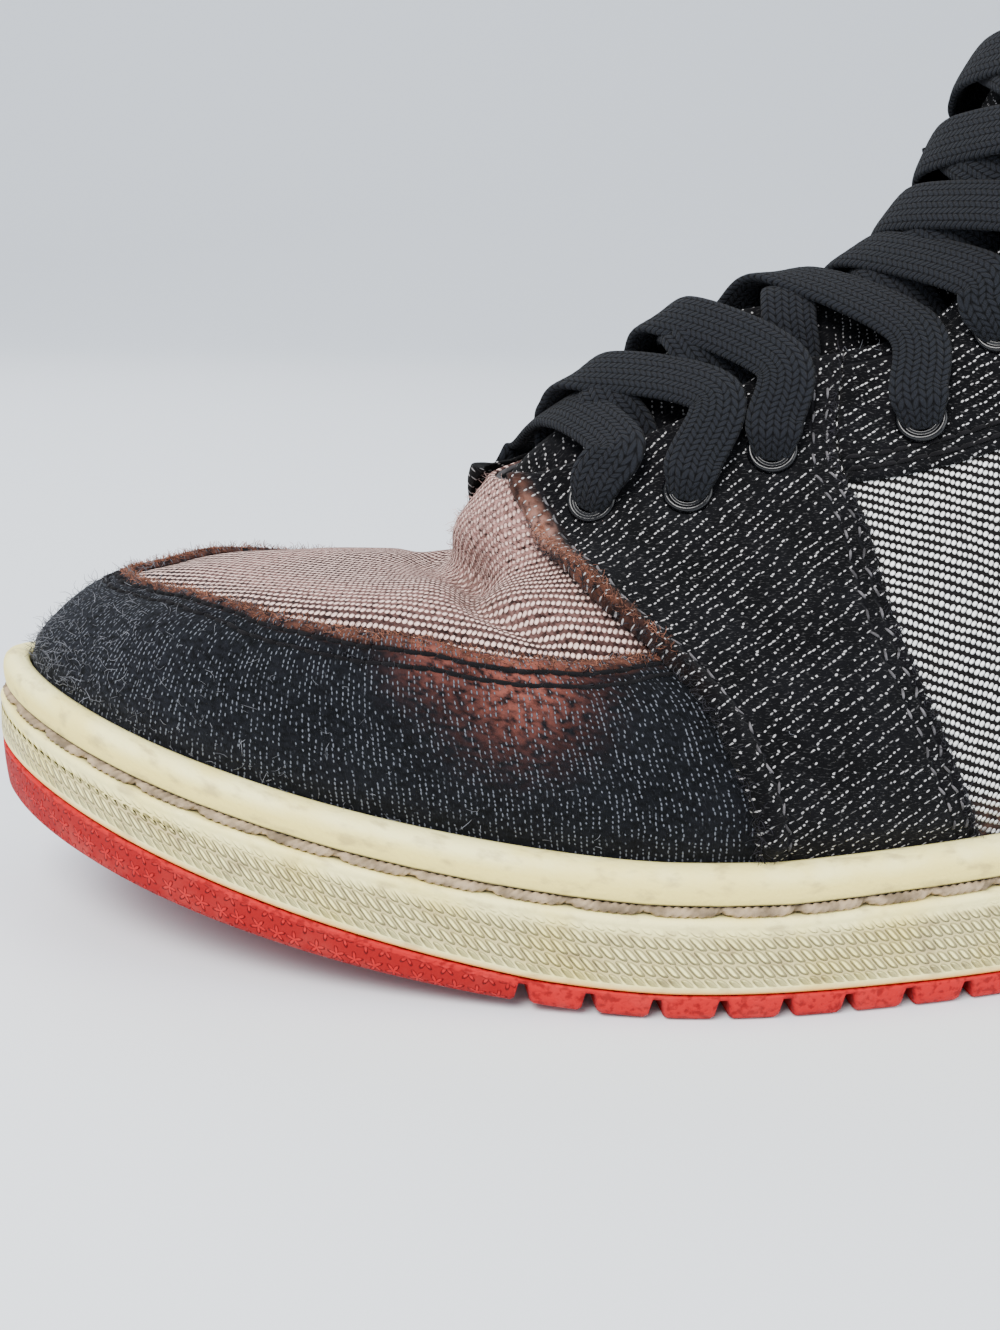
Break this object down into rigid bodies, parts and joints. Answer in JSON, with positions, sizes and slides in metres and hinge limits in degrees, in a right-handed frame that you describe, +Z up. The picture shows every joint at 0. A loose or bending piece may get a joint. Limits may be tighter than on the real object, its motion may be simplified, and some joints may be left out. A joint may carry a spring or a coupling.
{
  "type": "high-top sneaker",
  "caption": "Worn left high-top sneaker in black and light denim, with a cream cup sole, red outsole and flat laces over the tongue.",
  "frame": {"origin": "middle of the shoe's bounding box, on the floor it stands on", "axes": "+Z up, -X towards the toe, +X towards the heel, -Y towards the outer side of the left foot, +Y towards the inner side"},
  "size_m": [0.3, 0.1072, 0.1783],
  "materials": {
    "coral_rubber": "matte coral red rubber, bevelled foot, crosswise lugs",
    "cream_rubber": "satin cream rubber with short diagonal ribs on its side",
    "grey_foam": "grey fabric over foam",
    "white_twill": "light reverse twill with dark ground, faded and worn",
    "black_denim_tongue": "black denim with white flecks, padded",
    "navy_denim": "blue-black denim with fine white flecks, faded patch, frayed edge",
    "black_denim": "black denim with diagonal white flecks, frayed stitched edges",
    "black_lace": "flat woven blue-black lace",
    "black_metal": "glossy black rolled metal"
  },
  "bodies": {
    "root": {"outsole": "coral_rubber", "midsole": "cream_rubber", "insole": "grey_foam", "upper": "white_twill", "tongue": "black_denim_tongue", "toe_guard": "navy_denim", "front_stay_outer": "black_denim", "front_stay_inner": "black_denim", "ankle_panel_outer": "black_denim", "ankle_panel_inner": "black_denim", "heel_counter": "black_denim", "laces": "black_lace", "eyelet_outer_1": "black_metal", "eyelet_outer_2": "black_metal", "eyelet_outer_3": "black_metal", "eyelet_outer_4": "black_metal", "eyelet_outer_5": "black_metal", "eyelet_outer_6": "black_metal", "eyelet_outer_7": "black_metal", "eyelet_outer_8": "black_metal", "eyelet_inner_1": "black_metal", "eyelet_inner_2": "black_metal", "eyelet_inner_3": "black_metal", "eyelet_inner_4": "black_metal", "eyelet_inner_5": "black_metal", "eyelet_inner_6": "black_metal", "eyelet_inner_7": "black_metal", "eyelet_inner_8": "black_metal"}
  },
  "joints": []
}
